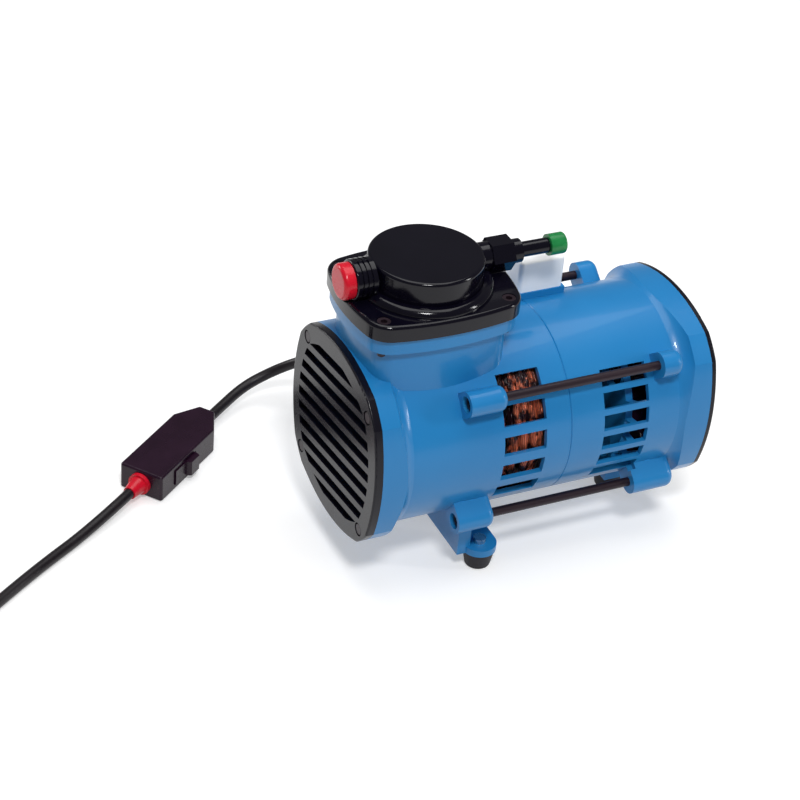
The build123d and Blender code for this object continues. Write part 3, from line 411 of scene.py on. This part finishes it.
def cord_curve(name, points):
    """One smooth cord along its route, with its length."""
    curve = bpy.data.curves.new(name, "CURVE")
    curve.dimensions = "3D"
    curve.resolution_u = 12
    curve.use_fill_caps = True
    spline = curve.splines.new("NURBS")
    spline.points.add(len(points) - 1)
    for target, point in zip(spline.points, points):
        target.co = (*point, 1.0)
    spline.order_u = 3
    spline.use_endpoint_u = True
    piece = placed(name, curve)
    line = bpy.data.meshes.new_from_object(piece)
    ends = [[line.vertices[i].co for i in edge.vertices] for edge in line.edges]
    length = sum((first - second).length for first, second in ends)
    bpy.data.meshes.remove(line)
    curve.bevel_depth = cord_diameter / 2
    curve.bevel_resolution = 6
    curve.materials.append(finishes["cord_jacket"])
    bpy.context.view_layer.update()
    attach(piece, "housing")
    return piece, length


def coil_place(turns_made):
    """Where the cord lies in the coil's section: its radius and its height."""
    turn, part = divmod(turns_made, 1)
    turn = int(turn)
    before = Vector(coil_lays[turn])
    after = Vector(coil_lays[min(turn + 1, len(coil_lays) - 1)])
    change = max((part - crossing_start) / (1 - crossing_start), 0)
    ease = change * change * (3 - 2 * change)
    room = 1 + crossing_swell * sin(pi * change)
    out, up = before.lerp(after, ease) * room
    return coil_radius + out * lay_width, cord_rest + up * lay_height


def coil_turns():
    """Turns of the put-away cord, laid two beside each other and three high."""
    start_x, start_y, _ = lower_points[-1]
    middle_x, middle_y = coil_centre
    first = atan2(start_y - middle_y, start_x - middle_x)
    turns = (first + pi) / full_turn + len(coil_lays) - 1
    count = round(turns * turn_points)
    step = turns / count
    points = []
    for i in range(1, count + 1):
        radius, height = coil_place(i * step)
        angle = first - full_turn * i * step
        # The smooth line runs inside its points by this much.
        reach = radius / cos(pi * step)
        points.append((middle_x + reach * cos(angle), middle_y + reach * sin(angle), height))
    return points


def make_cords():
    upper, length = cord_curve("supply_cord", [station(*p) for p in upper_points])
    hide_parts("cord_upper")
    tuple(station(*upper_points[0]))
    route = lower_points + coil_turns() + plug_points
    lower, length = cord_curve("supply_cord_lower", [station(*p) for p in route])
    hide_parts("cord_lower", "cord_coil")
    tuple(station(*route[0]))


# ---- windings --------------------------------------------------------------------------
# Each bundle's way along the shaft from the winding's end, its way out from the winding's
# surface, and its own radius.
bundle_places = [(2.2, -3.6, 2.1), (6.6, -0.4, 2.4), (12.0, 0.6, 2.5), (17.2, 0.2, 2.3), (22.2, 0.4, 2.2)]
bundle_steps = 120
bundle_sides = 10


def wire_bundle(name, x, radius, thickness, phase):
    """One bound bundle of magnet wire, wandering a little as it goes round the shaft."""
    shape = bmesh.new()
    across = Matrix.Rotation(pi / 2, 4, "X")
    bmesh.ops.create_circle(shape, segments=bundle_sides, radius=thickness, matrix=across)
    bmesh.ops.translate(shape, verts=shape.verts, vec=(0, 0, radius))
    bmesh.ops.spin(shape, geom=shape.verts[:] + shape.edges[:], cent=(0, 0, 0), axis=(1, 0, 0),
                   angle=full_turn, steps=bundle_steps, use_merge=True)
    for vert in shape.verts:
        angle = atan2(vert.co.z, vert.co.y)
        swell = 0.7 * sin(7 * angle + phase) + 0.5 * sin(17 * angle + 2.3 * phase)
        drift = 1.2 * sin(5 * angle + phase) + 0.5 * sin(19 * angle - phase)
        vert.co.x += drift * mm
        vert.co.yz *= 1 + swell * mm / radius
    bmesh.ops.translate(shape, verts=shape.verts, vec=(x, 0, axis_height))
    bmesh.ops.recalc_face_normals(shape, faces=shape.faces)
    mesh = mesh_of(shape, name, finishes["copper"])
    mesh.polygons.foreach_set("use_smooth", [True] * len(mesh.polygons))
    piece = placed(name, mesh)
    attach(piece, "housing")


def front_bundles():
    low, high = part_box("front_winding")
    surface = high[2] - axis_height
    for i, (along, outward, thickness) in enumerate(bundle_places):
        x, radius = low[0] + along * mm, surface + outward * mm
        wire_bundle(f"wire_bundle_{i + 1}", x, radius, thickness * mm, phase=1.7 * i)


# ---- studio ----------------------------------------------------------------------------
floor_size = 6.0
floor_gap = 0.2 * mm
floor_white = 0.72
backdrop_white = 0.36
world_level = 0.17
# Each lamp's place, size and power; all point at the middle of the pump.
lamps = {
    "front_above": ((-0.40, -1.05, 1.70), (0.36, 0.24), 20),
    "overhead": ((0.10, 0.30, 2.10), (1.8, 1.8), 27),
    "side_strip": ((1.50, -0.85, 0.75), (0.18, 0.70), 8),
    "far_side": ((-1.10, 1.50, 0.60), (0.6, 0.6), 8),
}


def floor_finish():
    """Plain white, with extra white for what the camera sees straight, mirrored or through glass."""
    f = Finish("floor_white")
    straight = f.add("ShaderNodeLightPath", {}, {}, "Is Camera Ray")
    mirrored = f.add("ShaderNodeLightPath", {}, {}, "Is Glossy Ray")
    through = f.add("ShaderNodeLightPath", {}, {}, "Is Transmission Ray")
    f.feed("Emission Strength", straight.at_least(mirrored).at_least(through) * backdrop_white)
    return f.feed_all(base_color=(floor_white, floor_white, floor_white, 1), emission_color=(1, 1, 1, 1),
                      roughness=0.9, specular_ior_level=0.0)


def studio_floor():
    shape = bmesh.new()
    bmesh.ops.create_grid(shape, x_segments=1, y_segments=1, size=floor_size)
    bmesh.ops.translate(shape, verts=shape.verts, vec=(0, 0, cad_box[0][2] - floor_gap))
    placed("studio_floor", mesh_of(shape, "studio_floor", floor_finish()))


def studio_light():
    aim = Vector((0, 0, 0.1))
    for name, (place, size, power) in lamps.items():
        data = bpy.data.lights.new(name, "AREA")
        data.shape = "RECTANGLE"
        data.size, data.size_y = size
        data.energy = power
        place = Vector(place)
        turn = (aim - place).to_track_quat("-Z", "Y").to_matrix().to_4x4()
        placed(name, data).matrix_world = Matrix.Translation(place) @ turn
    world = bpy.data.worlds.new("studio")
    bpy.context.scene.world = world
    world.use_nodes = True
    background = world.node_tree.nodes["Background"]
    background.inputs["Color"].default_value = (1, 1, 1, 1)
    background.inputs["Strength"].default_value = world_level


def studio_camera():
    """The pump's front end and near side, from a little above."""
    azimuth, elevation, roll = radians(-27.6), radians(35.0), radians(5.21)
    distance = 1.471
    target = station(56.7, 19.8, -0.7)
    back = Vector((sin(azimuth) * cos(elevation), -cos(azimuth) * cos(elevation), sin(elevation)))
    level = (-back).cross(Vector((0, 0, 1))).normalized()
    upright = level.cross(-back)
    right = level * cos(roll) + upright * sin(roll)
    up = upright * cos(roll) - level * sin(roll)
    turn = Matrix((right, up, back)).transposed().to_4x4()
    data = bpy.data.cameras.new("camera")
    data.lens = 101.1
    camera = placed("camera", data)
    camera.matrix_world = Matrix.Translation(target + back * distance) @ turn
    bpy.context.scene.camera = camera
    bpy.context.scene.view_settings.view_transform = "Standard"


dress_nodes()
make_cords()
front_bundles()
studio_floor()
studio_light()
studio_camera()
